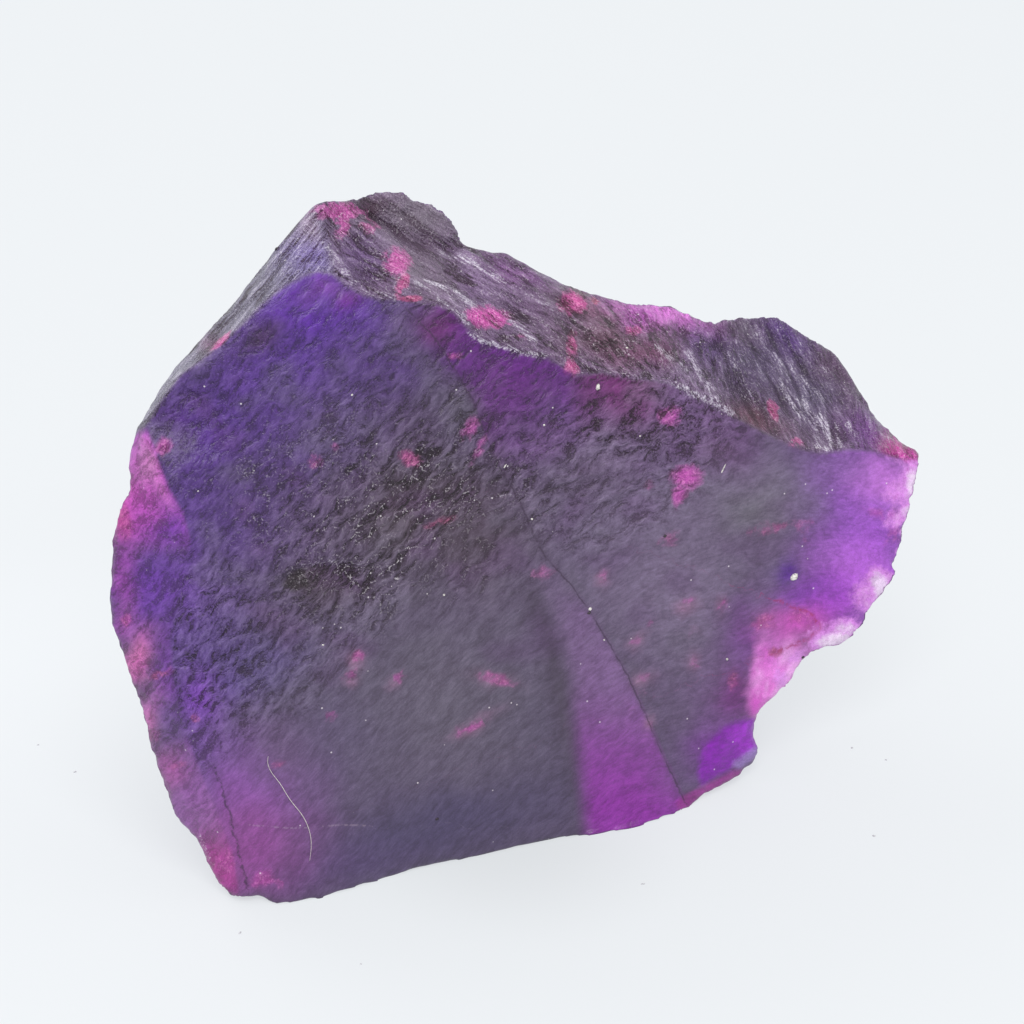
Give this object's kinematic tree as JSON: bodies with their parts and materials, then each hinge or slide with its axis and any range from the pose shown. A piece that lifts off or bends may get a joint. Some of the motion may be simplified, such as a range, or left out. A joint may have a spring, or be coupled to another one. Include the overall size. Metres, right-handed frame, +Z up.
{
  "type": "rough tanzanite",
  "caption": "Rough violet-to-magenta stone chip with a broad fracture face, a striated top with two rounded lobes, a thin translucent right edge and a flat foot.",
  "frame": {"origin": "centre of the stone's box at its lowest plane, which is the flat patch that it rests on", "axes": "+X along the foot of the broad face, towards the thin edge; +Y from the broad face through the stone to its back; +Z up"},
  "size_m": [0.064, 0.024, 0.0503],
  "materials": {
    "stone": "waxy broken surface, violet to magenta, translucent at the thin edges"
  },
  "bodies": {
    "root": {"stone": "stone"}
  },
  "joints": []
}
